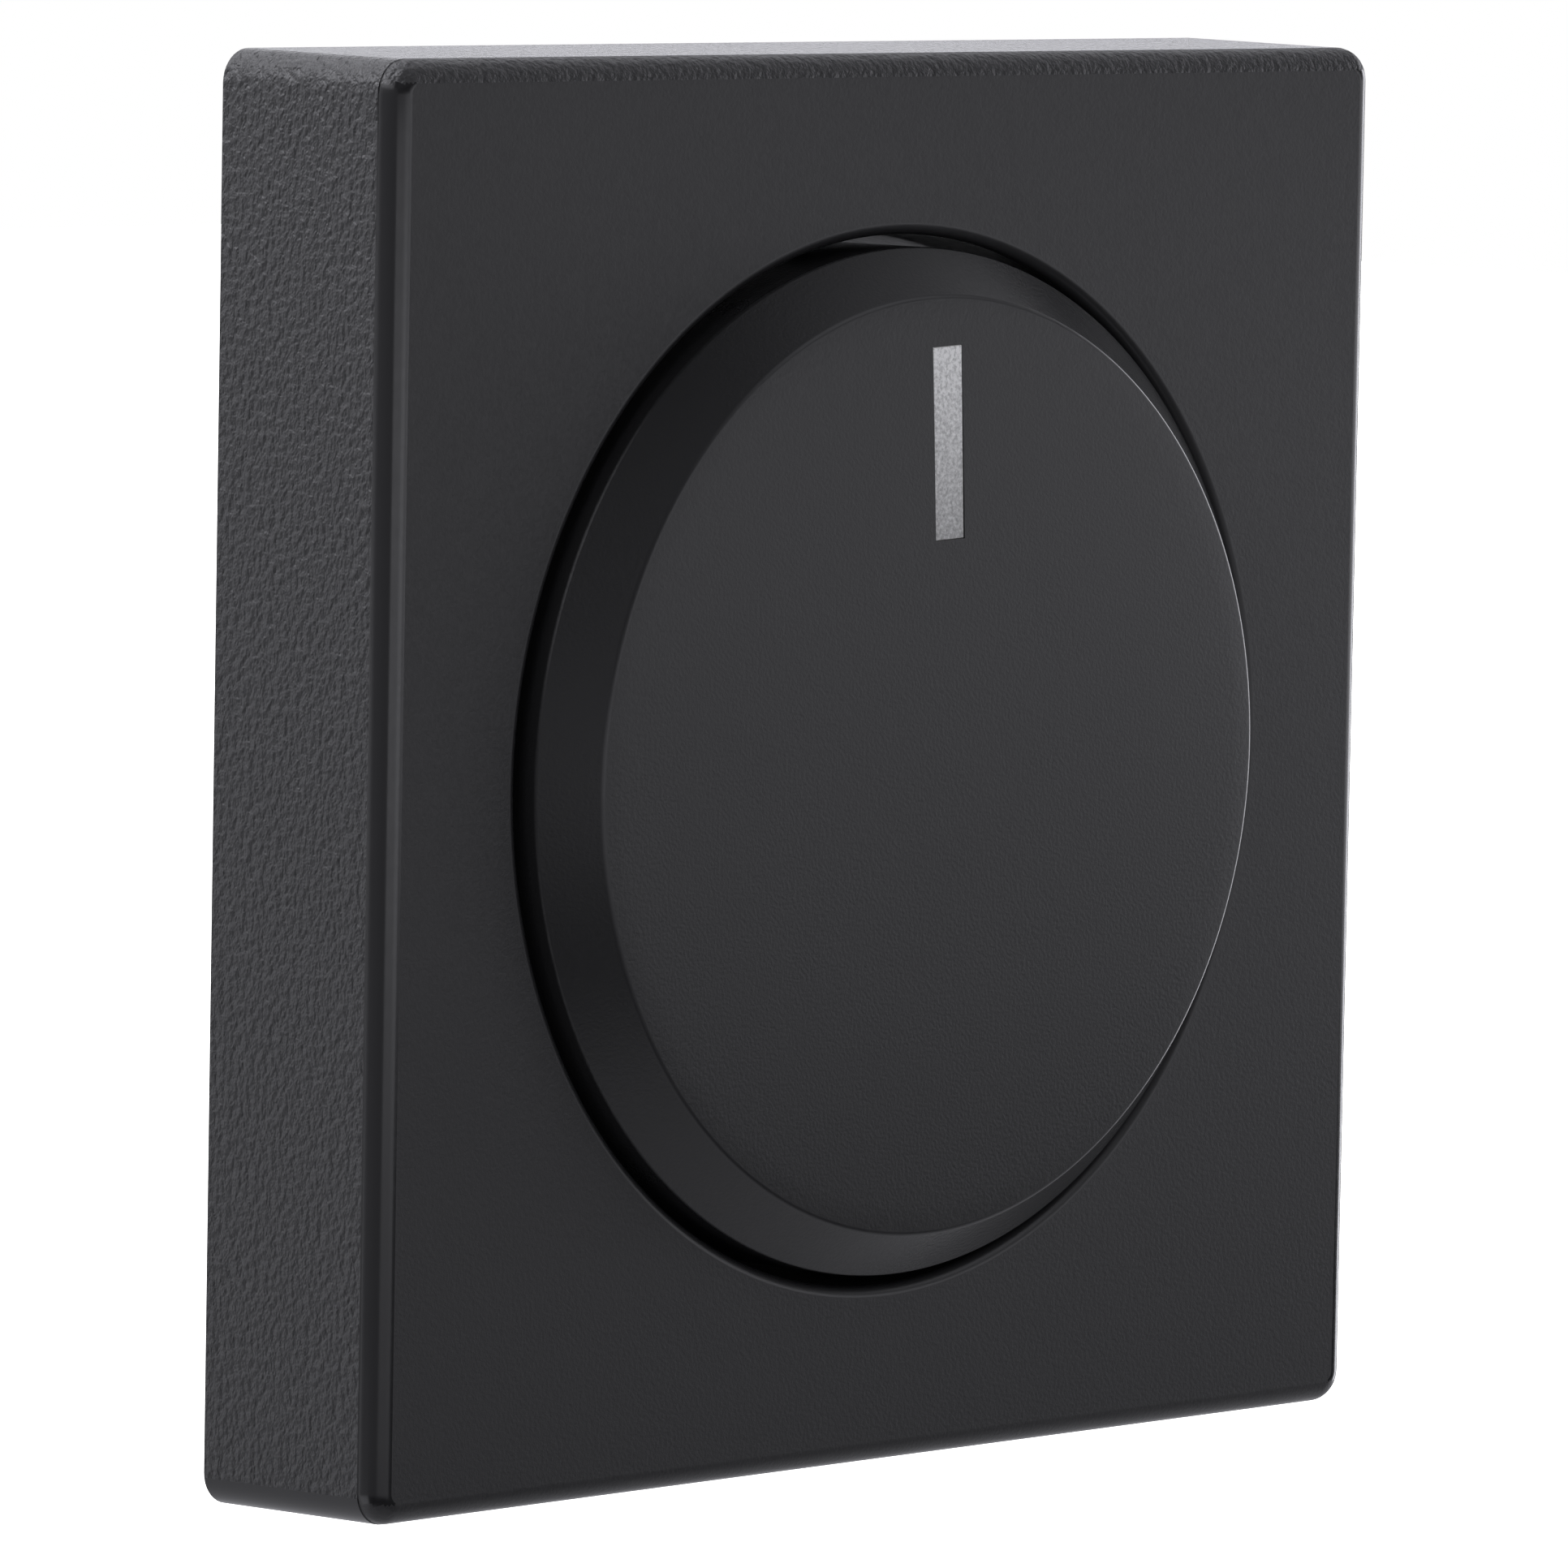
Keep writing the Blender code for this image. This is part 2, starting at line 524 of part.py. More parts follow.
def make_module_housing():
    inner_radius = HOUSING_RADIUS - HOUSING_WALL
    ceiling = HOUSING_FRONT - HOUSING_WALL
    channel = HOUSING_FRONT - CHANNEL_DEPTH
    profile = [(HOUSING_OPENING_RADIUS, HOUSING_FRONT), (CHANNEL_INNER_RADIUS, HOUSING_FRONT),
               (CHANNEL_INNER_RADIUS, channel), (inner_radius, channel),
               (inner_radius, HOUSING_FRONT), (HOUSING_RADIUS, HOUSING_FRONT),
               (HOUSING_RADIUS, HOUSING_REAR), (inner_radius, HOUSING_REAR),
               (inner_radius, channel - HOUSING_WALL),
               (CHANNEL_INNER_RADIUS - HOUSING_WALL, channel - HOUSING_WALL),
               (CHANNEL_INNER_RADIUS - HOUSING_WALL, ceiling), (HOUSING_OPENING_RADIUS, ceiling)]
    housing = turned("module_housing", profile, GREY_PLASTIC, FINE)

    arm_high = ARM_LOW + ARM_THICKNESS
    corner = CORNER_SCREW_PLACE * math.sqrt(2)
    for number, (x, y) in enumerate(DIAGONALS, 1):
        reach = (corner + HOUSING_RADIUS - HOUSING_WALL / 2) / 2
        arm = box(f"arm_{number}", corner - HOUSING_RADIUS + HOUSING_WALL / 2, ARM_WIDTH,
                  ARM_LOW, arm_high, x=x * reach * math.sqrt(0.5),
                  y=y * reach * math.sqrt(0.5), angle=math.atan2(y, x))
        pad = cylinder(f"arm_pad_{number}", ARM_PAD_RADIUS, ARM_LOW, arm_high,
                       x=x * CORNER_SCREW_PLACE, y=y * CORNER_SCREW_PLACE)
        join(housing, arm, pad)

    # the apron keeps dust and light out of the gap below the knob
    apron_high = COLLAR_REAR - GAP
    apron = tube("dust_apron", HOUSING_RADIUS - HOUSING_WALL / 2, APRON_RADIUS, APRON_LOW,
                 apron_high, segments=FINE)
    cut(apron, box("apron_top", 3 * APRON_RADIUS, 2 * APRON_RADIUS, APRON_LOW - THROUGH,
                   apron_high + THROUGH, y=APRON_TOP_EDGE + APRON_RADIUS))
    join(housing, apron)

    posts = bmesh.new()
    holes = bmesh.new()
    for x, y in DIAGONALS:
        post = {"x": x * POST_PLACE, "y": y * POST_PLACE}
        add_cylinder(posts, POST_RADIUS, BOARD_HIGH + GAP, channel - HOUSING_WALL / 2, **post)
        add_cylinder(holes, REAR_SCREW_RADIUS + GAP, BOARD_HIGH, REAR_SCREW_TIP + GAP, **post)
        add_cylinder(holes, PLATE_SCREW_RADIUS + GAP, ARM_LOW - THROUGH, arm_high + THROUGH,
                     x * CORNER_SCREW_PLACE, y * CORNER_SCREW_PLACE)
    for x, y in SIDES:
        add_cylinder(holes, LIGHT_PEG_RADIUS + GAP, channel - 2 * HOUSING_WALL,
                     channel + THROUGH, x * LED_PLACE, y * LED_PLACE)
    join(housing, from_bmesh("housing_posts", posts))
    cut(housing, from_bmesh("housing_holes", holes))


def make_light_ring():
    low = HOUSING_FRONT - CHANNEL_DEPTH + GAP
    high = low + LIGHT_RING_THICKNESS
    ring = tube("light_ring", CHANNEL_INNER_RADIUS + GAP, HOUSING_RADIUS - HOUSING_WALL - GAP,
                low, high, FROSTED, FINE)
    pegs = bmesh.new()
    for x, y in SIDES:
        add_cylinder(pegs, LIGHT_PEG_RADIUS, BOARD_HIGH + GAP + LED_HEIGHT + GAP,
                     low + THROUGH, x * LED_PLACE, y * LED_PLACE)
    join(ring, from_bmesh("light_pegs", pegs))


# ---------------------------------------------------------------- circuit board

def pin_places():
    return [(column * PIN_PITCH, row * PIN_PITCH / 2) for row in (1, -1)
            for column in (-1, 0, 1)]


def make_circuit_board():
    low = BOARD_HIGH - BOARD_THICKNESS
    board = cylinder("circuit_board", BOARD_RADIUS, low, BOARD_HIGH, BOARD_GREEN, segments=FINE)
    holes = bmesh.new()
    span = {"low": low - THROUGH, "high": BOARD_HIGH + THROUGH}
    for x, y in DIAGONALS:
        add_cylinder(holes, REAR_SCREW_RADIUS + GAP, x=x * POST_PLACE, y=y * POST_PLACE, **span)
    for x in terminal_places():
        side = TERMINAL_SIDE + 2 * GAP
        add_box(holes, side, side, x=x, y=TERMINAL_PLACE, **span)
    for x, y in pin_places():
        side = PIN_SIDE + 2 * GAP
        add_box(holes, side, side, x=x, y=y, **span)
    cut(board, from_bmesh("board_holes", holes))

    for number, (x, y) in enumerate(SIDES, 1):
        box(f"led_{number}", LED_SIDE, LED_SIDE, BOARD_HIGH + GAP, BOARD_HIGH + GAP + LED_HEIGHT,
            LED_WHITE, x * LED_PLACE, y * LED_PLACE)

    rear = low - GAP
    box("control_chip", CHIP_SIDE, CHIP_SIDE, rear - CHIP_HEIGHT, rear, BLACK_PLASTIC,
        x=-9.5 * MM, y=2.0 * MM)
    cylinder("capacitor", CAPACITOR_RADIUS, rear - CAPACITOR_HEIGHT, rear, STEEL,
             x=9.5 * MM, y=1.0 * MM, segments=MEDIUM)


def make_connector():
    header_high = BOARD_HIGH - BOARD_THICKNESS - GAP
    header = box("connector_header", HEADER_WIDTH, HEADER_HEIGHT, HEADER_REAR, header_high,
                 BLACK_PLASTIC)
    holes = bmesh.new()
    side = PIN_SIDE + 2 * GAP
    for x, y in pin_places():
        add_box(holes, side, side, HEADER_REAR - THROUGH, header_high + THROUGH, x, y)
    cut(header, from_bmesh("header_holes", holes))
    for number, (x, y) in enumerate(pin_places(), 1):
        box(f"connector_pin_{number}", PIN_SIDE, PIN_SIDE, PIN_REAR, BOARD_HIGH - THROUGH, TIN,
            x, y)


# ---------------------------------------------------------------- rear cover, screws, springs

def make_rear_cover():
    high = HOUSING_REAR + COVER_THICKNESS
    radius = HOUSING_RADIUS - HOUSING_WALL - GAP
    cover = cylinder("rear_cover", radius, HOUSING_REAR, high, GREY_PLASTIC, segments=FINE)
    pillars = bmesh.new()
    holes = bmesh.new()
    board_low = BOARD_HIGH - BOARD_THICKNESS
    for x, y in DIAGONALS:
        where = {"x": x * POST_PLACE, "y": y * POST_PLACE}
        add_cylinder(pillars, POST_RADIUS, high - THROUGH, board_low - GAP, **where)
        add_cylinder(holes, REAR_SCREW_RADIUS + GAP, HOUSING_REAR - THROUGH, board_low, **where)
    add_box(holes, HEADER_WIDTH + 2 * GAP, HEADER_HEIGHT + 2 * GAP, HOUSING_REAR - THROUGH,
            high + THROUGH)
    join(cover, from_bmesh("cover_pillars", pillars))
    cut(cover, from_bmesh("cover_holes", holes))


def make_screw(name, radius, head_radius, seat, tip, x, y):
    """A pan-head screw driven towards the front, with its head behind the seat."""
    head_high = seat - GAP
    head_low = head_high - SCREW_HEAD_THICKNESS
    dome = head_radius * 0.8
    profile = [(0, tip), (radius * 0.6, tip), (radius, tip - radius), (radius, head_high),
               (head_radius, head_high), (head_radius, head_low + GAP), (dome, head_low),
               (0, head_low)]
    screw = turned(name, profile, STEEL, COARSE)
    screw.location = (x, y, 0)
    reach = 1.3 * head_radius
    arms = [box(f"{name}_cross_{number}", width, length, head_low - THROUGH,
                head_low + CROSS_DEPTH, x=x, y=y)
            for number, (width, length) in enumerate([(CROSS_WIDTH, reach),
                                                      (reach, CROSS_WIDTH)], 1)]
    cut(screw, *arms)


def make_screws():
    for number, (x, y) in enumerate(DIAGONALS, 1):
        make_screw(f"rear_screw_{number}", REAR_SCREW_RADIUS, REAR_HEAD_RADIUS, HOUSING_REAR,
                   REAR_SCREW_TIP, x * POST_PLACE, y * POST_PLACE)
        make_screw(f"plate_screw_{number}", PLATE_SCREW_RADIUS, PLATE_HEAD_RADIUS, ARM_LOW,
                   PLATE_SCREW_TIP, x * CORNER_SCREW_PLACE, y * CORNER_SCREW_PLACE)


def make_retaining_springs():
    """Bowed leaf springs outside the housing, behind the wall plane."""
    steps = 8
    for number in range(len(SIDES)):
        shape = bmesh.new()
        rows = []
        for i in range(steps + 1):
            share = i / steps
            out = HOUSING_RADIUS + GAP + SPRING_BULGE * math.sin(math.pi * share)
            height = SPRING_HIGH + (SPRING_LOW - SPRING_HIGH) * share
            rows.append([shape.verts.new((out, side * SPRING_WIDTH / 2, height))
                         for side in (-1, 1)])
        for upper, lower in zip(rows, rows[1:]):
            shape.faces.new((upper[0], lower[0], lower[1], upper[1]))
        spring = from_bmesh(f"retaining_spring_{number + 1}", shape, STEEL)
        spring.rotation_euler = (0, 0, number * math.pi / 2)
        solid = spring.modifiers.new("sheet", "SOLIDIFY")
        solid.thickness = SPRING_THICKNESS
        solid.offset = 1


make_cover_plate()
make_knob_cap()
make_pointer_lens()
make_shaft_group()
make_potentiometer()
make_push_switch()
make_module_housing()
make_light_ring()
make_circuit_board()
make_connector()
make_rear_cover()
make_screws()
make_retaining_springs()
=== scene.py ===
"""Looks of the square wall control with its push-and-turn knob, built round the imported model.

Pieces are made lying on their back: own x is the object's X, own y is its Z, and own z is the height
in front of the wall. new_piece() then stands them up in the object's frame.
"""
import math

import bmesh
import bpy
from mathutils import Matrix, Vector


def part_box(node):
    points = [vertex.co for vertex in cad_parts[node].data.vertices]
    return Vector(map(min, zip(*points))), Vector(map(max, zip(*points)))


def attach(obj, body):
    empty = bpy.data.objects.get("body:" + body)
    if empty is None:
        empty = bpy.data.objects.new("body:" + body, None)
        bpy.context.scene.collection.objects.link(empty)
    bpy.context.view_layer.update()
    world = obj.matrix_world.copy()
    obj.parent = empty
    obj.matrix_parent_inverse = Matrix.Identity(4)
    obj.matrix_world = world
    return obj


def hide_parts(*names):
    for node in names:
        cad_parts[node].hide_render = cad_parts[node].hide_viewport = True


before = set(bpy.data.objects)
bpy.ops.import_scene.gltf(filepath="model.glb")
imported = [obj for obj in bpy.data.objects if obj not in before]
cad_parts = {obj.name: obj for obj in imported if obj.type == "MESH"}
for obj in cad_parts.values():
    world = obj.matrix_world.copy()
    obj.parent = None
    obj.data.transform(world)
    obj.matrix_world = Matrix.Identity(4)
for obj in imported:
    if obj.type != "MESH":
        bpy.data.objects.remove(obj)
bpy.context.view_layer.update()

MM = 0.001
UPRIGHT = Matrix.Rotation(math.radians(90), 4, "X")
DIAGONALS = [(1, 1), (-1, 1), (-1, -1), (1, -1)]

# ---------------------------------------------------------------- sizes, from the model's boxes

plate_low, plate_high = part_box("cover_plate")
knob_low, knob_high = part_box("knob_cap")
lens_low, lens_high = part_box("pointer_lens")
screw_low, screw_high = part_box("plate_screw_1")

PLATE_REAR_HALF = (plate_high.x - plate_low.x) / 2
PLATE_DEPTH = -plate_low.y
KNOB_RADIUS = (knob_high.x - knob_low.x) / 2
KNOB_FACE_HEIGHT = -knob_low.y
KNOB_SKIRT_REAR = -knob_high.y
SCREW_PLACE = (screw_low.x + screw_high.x) / 2

PLATE_LEAN = 0.15 * MM  # of each side, from the front to the rear rim
PLATE_HALF = PLATE_REAR_HALF - PLATE_LEAN
PLATE_FRONT_WALL = 2.0 * MM
PLATE_SIDE_WALL = 1.8 * MM
CORNER_RADIUS = 1.3 * MM
FRONT_RADIUS = 0.88 * MM
REAR_EDGE = 0.06 * MM
GRAIN_RELIEF = 0.03 * MM  # the etched sides end in a tiny step at the smooth rounding
OPENING_RADIUS = 20.5 * MM
OPENING_EDGE = 0.47 * MM  # rounding radius
COLLAR_WALL = 1.2 * MM
COLLAR_REAR = 0.5 * MM
INNER_FILLET = 0.4 * MM
COLLAR_FILLET = 0.3 * MM
SMALL_EDGE = 0.1 * MM
ARM_TOP = 3.0 * MM
ARM_WIDTH = 4.6 * MM
ARM_GAP = 0.3 * MM
BOSS_RADIUS = 2.8 * MM
BOSS_GAP = 0.05 * MM
PILOT_RADIUS = 1.1 * MM
PILOT_CAP = 0.6 * MM  # from the end of the screw's hole to the front wall
OVERLAP = 0.5 * MM  # how far a joined shape reaches past the surface it meets

KNOB_RIM_HEIGHT = KNOB_FACE_HEIGHT - 2.05 * MM
KNOB_FACE_RADIUS = KNOB_RADIUS - 1.65 * MM
KNOB_WALL = 1.5 * MM
KNOB_EDGE = 0.28 * MM
KNOB_CROWN = 0.1 * MM  # how far the face falls away towards its edge
HUB_RADIUS = 4.6 * MM
HUB_REAR = 5.8 * MM
HUB_FILLET = 0.3 * MM
HUB_EDGE = 0.2 * MM
HUB_SLIT = 0.8 * MM
SLIT_CAP = 1.2 * MM  # from the end of the slit to the inside of the face
SHAFT_BORE = 3.06 * MM
BORE_CAP = 0.3 * MM  # from the end of the bore to the inside of the face
POINTER_WIDTH = 1.6 * MM
POINTER_LENGTH = 7.5 * MM
POINTER_MIDDLE = 12.55 * MM
POINTER_SEAM = 0.015 * MM
POINTER_SUNK = 0.04 * MM  # below the face's middle, since the face is crowned
POINTER_EDGE = 0.04 * MM
FLANGE_GAP = 0.3 * MM  # between the window's flange and the inside of the face
POINTER_OFFSET = 0.3 * MM  # the window sits a little askew in the knob
POINTER_LEAN = math.radians(2.5)

SIDE_STEPS = 44
CORNER_STEPS = 10
KNOB_STEPS = 240
CROWN_PARTS = (0.3, 0.5, 0.6, 0.7, 0.8, 0.87, 0.93)  # rings on the face, as parts of its radius
CLEAR = 1 * MM  # how far a cutter reaches past the surface it cuts
HAIR = 0.01 * MM  # tolerances when faces are told apart by their place
THIN_HAIR = 0.002 * MM
THINNEST_HAIR = 0.001 * MM
SHARP_ANGLE = 35  # degrees; creases sharper than this stay sharp
KNOB_SHARP_ANGLE = 30
EDGE_START = 0.998  # the satin rounding starts at this part of its inner radius


# ---------------------------------------------------------------- mesh helpers

def new_piece(name, shape):
    """A standing piece from a shape made lying down, shaded smooth with sharp creases."""
    mesh = bpy.data.meshes.new(name)
    bmesh.ops.recalc_face_normals(shape, faces=shape.faces)
    shape.to_mesh(mesh)
    shape.free()
    mesh.transform(UPRIGHT)
    mesh.shade_smooth()
    mesh.set_sharp_from_angle(angle=math.radians(SHARP_ANGLE))
    made = bpy.data.objects.new(name, mesh)
    bpy.context.scene.collection.objects.link(made)
    return made


def weighted(piece):
    """Keeps flat faces flat beside rounded edges."""
    normals = piece.modifiers.new("flat_faces", "WEIGHTED_NORMAL")
    normals.keep_sharp = True


def loft(rings):
    """A closed solid through closed rings of equal length, the last joined to the first."""
    shape = bmesh.new()
    rows = [[shape.verts.new(point) for point in ring] for ring in rings]
    count = len(rows[0])
    for one, other in zip(rows, rows[1:] + rows[:1]):
        for i in range(count):
            j = (i + 1) % count
            shape.faces.new((one[i], one[j], other[j], other[i]))
    return shape


def lathe(profile, steps):
    """Turn a profile of (radius, height) points about the knob's axis."""
    shape = bmesh.new()
    rows = []
    for radius, height in profile:
        if radius == 0:
            rows.append([shape.verts.new((0, 0, height))])
        else:
            rows.append([shape.verts.new((radius * math.cos(2 * math.pi * i / steps),
                                          radius * math.sin(2 * math.pi * i / steps), height))
                         for i in range(steps)])
    closed = len(rows[0]) > 1
    for one, other in zip(rows, rows[1:] + (rows[:1] if closed else [])):
        for i in range(steps):
            j = (i + 1) % steps
            if len(one) == 1:
                shape.faces.new((one[0], other[j], other[i]))
            elif len(other) == 1:
                shape.faces.new((one[i], one[j], other[0]))
            else:
                shape.faces.new((one[i], one[j], other[j], other[i]))
    return shape


def arc(radius, x, z, start, end, steps):
    """Points on an arc, with its angles in degrees."""
    angles = [math.radians(start + (end - start) * i / steps) for i in range(steps + 1)]
    return [(x + radius * math.cos(a), z + radius * math.sin(a)) for a in angles]


def add_cylinder(shape, radius, low, high, x=0.0, y=0.0, segments=32):
    bmesh.ops.create_cone(shape, cap_ends=True, segments=segments, radius1=radius,
                          radius2=radius, depth=high - low,
                          matrix=Matrix.Translation((x, y, (low + high) / 2)))


def add_box(shape, width, length, low, high, x=0.0, y=0.0, angle=0.0):
    matrix = (Matrix.Translation((x, y, (low + high) / 2)) @ Matrix.Rotation(angle, 4, "Z")
              @ Matrix.Diagonal((width, length, high - low, 1)))
    bmesh.ops.create_cube(shape, size=1, matrix=matrix)


def carve(piece, shape, operation="DIFFERENCE"):
    """Cut a shape made lying down out of a piece, or join it on."""
    tool = new_piece("tool", shape)
    boolean = piece.modifiers.new("carve", "BOOLEAN")
    boolean.operation = operation
    boolean.solver = "EXACT"
    boolean.object = tool
    solid = bpy.data.meshes.new_from_object(
        piece.evaluated_get(bpy.context.evaluated_depsgraph_get()))
    piece.modifiers.clear()
    piece.data = solid
    bpy.data.objects.remove(tool)


# ---------------------------------------------------------------- materials

BLOTCH_SCALE = 90  # slow changes of colour over some 10 mm
NOISE_SPAN = (0.3, 0.7)  # most of a noise's values lie here
GRAZING_SPAN = (0.45, 0.85)  # Facing values over which the gloss rises
SPARKLE_SCALE = 6500


def nodes_of(name):
    made = bpy.data.materials.new(name)
    made.use_nodes = True
    tree = made.node_tree
    return made, tree, tree.nodes["Principled BSDF"]


def add(tree, kind, **settings):
    node = tree.nodes.new(kind)
    for key, value in settings.items():
        setattr(node, key, value)
    return node


def place_texture(tree, scale):
    coordinates = add(tree, "ShaderNodeTexCoord")
    mapping = add(tree, "ShaderNodeMapping")
    mapping.inputs["Scale"].default_value = scale
    tree.links.new(coordinates.outputs["Object"], mapping.inputs["Vector"])
    return mapping.outputs["Vector"]


def noise(tree, scale, detail=2.0, roughness=0.5, stretch=(1, 1, 1)):
    node = add(tree, "ShaderNodeTexNoise")
    node.inputs["Scale"].default_value = scale
    node.inputs["Detail"].default_value = detail
    node.inputs["Roughness"].default_value = roughness
    tree.links.new(place_texture(tree, stretch), node.inputs["Vector"])
    return node.outputs["Fac"]


def ranged(tree, value, low, high, start=0.0, end=1.0):
    node = add(tree, "ShaderNodeMapRange")
    node.inputs["From Min"].default_value = start
    node.inputs["From Max"].default_value = end
    node.inputs["To Min"].default_value = low
    node.inputs["To Max"].default_value = high
    tree.links.new(value, node.inputs["Value"])
    return node.outputs["Result"]


def coloured(tree, value, dark, light):
    ramp = add(tree, "ShaderNodeValToRGB")
    ramp.color_ramp.elements[0].color = (*dark, 1)
    ramp.color_ramp.elements[1].color = (*light, 1)
    tree.links.new(value, ramp.inputs["Fac"])
    return ramp.outputs["Color"]


def bump(tree, shader, height, strength, distance):
    node = add(tree, "ShaderNodeBump")
    node.inputs["Strength"].default_value = strength
    node.inputs["Distance"].default_value = distance
    tree.links.new(height, node.inputs["Height"])
    tree.links.new(node.outputs["Normal"], shader.inputs["Normal"])


def plastic(name, dark, light, rough, grain_scale, grain_depth, detail=2.0, stretch=(1, 1, 1),
            grazing=None):
    """Moulded plastic: fine grain as relief, small changes of colour and gloss.

    With grazing, the gloss rises towards that roughness where the surface is seen edge on.
    """
    made, tree, shader = nodes_of(name)
    blotches = noise(tree, BLOTCH_SCALE, 3)
    grain = noise(tree, grain_scale, detail, 0.55, stretch)
    tree.links.new(coloured(tree, blotches, dark, light), shader.inputs["Base Color"])
    gloss = ranged(tree, grain, *rough, *NOISE_SPAN)
    if grazing:
        weight = add(tree, "ShaderNodeLayerWeight")
        blend = add(tree, "ShaderNodeMix")
        tree.links.new(ranged(tree, weight.outputs["Facing"], 0, 1, *GRAZING_SPAN),
                       blend.inputs["Factor"])
        tree.links.new(gloss, blend.inputs["A"])
        blend.inputs["B"].default_value = grazing
        gloss = blend.outputs["Result"]
    tree.links.new(gloss, shader.inputs["Roughness"])
    bump(tree, shader, grain, 1.0, grain_depth)
    return made


def metal(name, dark, light, rough, scale=900, depth=0.004 * MM, stretch=(1, 1, 1)):
    """Metal with a drawn or plated surface."""
    made, tree, shader = nodes_of(name)
    marks = noise(tree, scale, 4, 0.6, stretch)
    tree.links.new(coloured(tree, marks, dark, light), shader.inputs["Base Color"])
    tree.links.new(ranged(tree, marks, *rough, *NOISE_SPAN), shader.inputs["Roughness"])
    shader.inputs["Metallic"].default_value = 1.0
    bump(tree, shader, marks, 0.6, depth)
    return made


FINE_MATT = plastic("anthracite_fine_matt", (0.0185, 0.0185, 0.0195), (0.0215, 0.0215, 0.0225),
                    (0.40, 0.50), 7000, 0.012 * MM, grazing=0.2)
SATIN = plastic("anthracite_satin", (0.017, 0.017, 0.018), (0.019, 0.019, 0.02),
                (0.33, 0.37), 2500, 0.0005 * MM, grazing=0.2)
KNOB_MATT = plastic("anthracite_knob_matt", (0.0155, 0.0155, 0.0162), (0.018, 0.018, 0.0187),
                    (0.36, 0.44), 7000, 0.012 * MM, grazing=0.12)
SMOOTH = plastic("anthracite_smooth", (0.017, 0.017, 0.018), (0.019, 0.019, 0.02),
                 (0.19, 0.23), 2500, 0.0005 * MM)
ETCHED = plastic("anthracite_etched", (0.021, 0.021, 0.022), (0.025, 0.025, 0.0262),
                 (0.46, 0.56), 3300, 0.22 * MM, 2.0, (1, 1, 0.8), 0.14)
# Painted light: a lighter copy of the etched look for the top edge only, standing in for the light
# that falls on it.
ETCHED_TOP_PAINTED_LIGHT = plastic("anthracite_etched_top_painted_light", (0.032, 0.032, 0.0335), (0.036, 0.036, 0.0375),
                      (0.5, 0.6), 3300, 0.17 * MM)
MOULDED_BACK = plastic("anthracite_moulded_back", (0.018, 0.018, 0.019), (0.022, 0.022, 0.023),
                       (0.34, 0.44), 2500, 0.004 * MM)
GREY = plastic("grey_moulding", (0.20, 0.205, 0.21), (0.25, 0.255, 0.26), (0.42, 0.52), 2600,
               0.01 * MM)
BLACK = plastic("black_moulding", (0.012, 0.012, 0.012), (0.02, 0.02, 0.02), (0.3, 0.42), 2600,
                0.006 * MM)
PHENOLIC = plastic("pressed_board", (0.16, 0.07, 0.03), (0.27, 0.13, 0.055), (0.5, 0.65), 1600,
                   0.01 * MM, 4.0, (1, 1, 6))
CARBON = plastic("carbon_film", (0.01, 0.01, 0.011), (0.022, 0.022, 0.023), (0.3, 0.5), 6000,
                 0.004 * MM)
BOARD = plastic("solder_mask", (0.012, 0.10, 0.045), (0.02, 0.15, 0.065), (0.25, 0.38), 1200,
                0.006 * MM)
LAMP = plastic("lamp_body", (0.75, 0.73, 0.62), (0.85, 0.83, 0.74), (0.2, 0.3), 1500,
               0.003 * MM)
STEEL = metal("zinc_plated_steel", (0.42, 0.43, 0.44), (0.62, 0.62, 0.62), (0.26, 0.4))
SPRING_STEEL = metal("spring_steel", (0.35, 0.36, 0.38), (0.55, 0.55, 0.56), (0.2, 0.32), 1500,
                     0.004 * MM, (1, 8, 1))
BRASS = metal("brass", (0.52, 0.36, 0.13), (0.74, 0.54, 0.24), (0.22, 0.36), 1100)
TIN = metal("tin_plate", (0.62, 0.61, 0.58), (0.8, 0.79, 0.76), (0.2, 0.34), 1400)


def frosted(name, base_dark, base_light):
    """Frosted light-guide plastic with a fine sparkle."""
    made, tree, shader = nodes_of(name)
    sparkle = noise(tree, SPARKLE_SCALE, 3, 0.6)
    tree.links.new(coloured(tree, ranged(tree, sparkle, 0, 1, 0.35, 0.65), base_dark,
                            base_light), shader.inputs["Base Color"])
    tree.links.new(ranged(tree, sparkle, 0.35, 0.6, *NOISE_SPAN), shader.inputs["Roughness"])
    shader.inputs["Subsurface Weight"].default_value = 0.3
    shader.inputs["Subsurface Radius"].default_value = (1, 1, 1)
    shader.inputs["Subsurface Scale"].default_value = 0.6 * MM
    bump(tree, shader, sparkle, 1.0, 0.02 * MM)
    return made


LIGHT_GUIDE = frosted("light_guide", (0.5, 0.5, 0.5), (0.72, 0.72, 0.72))


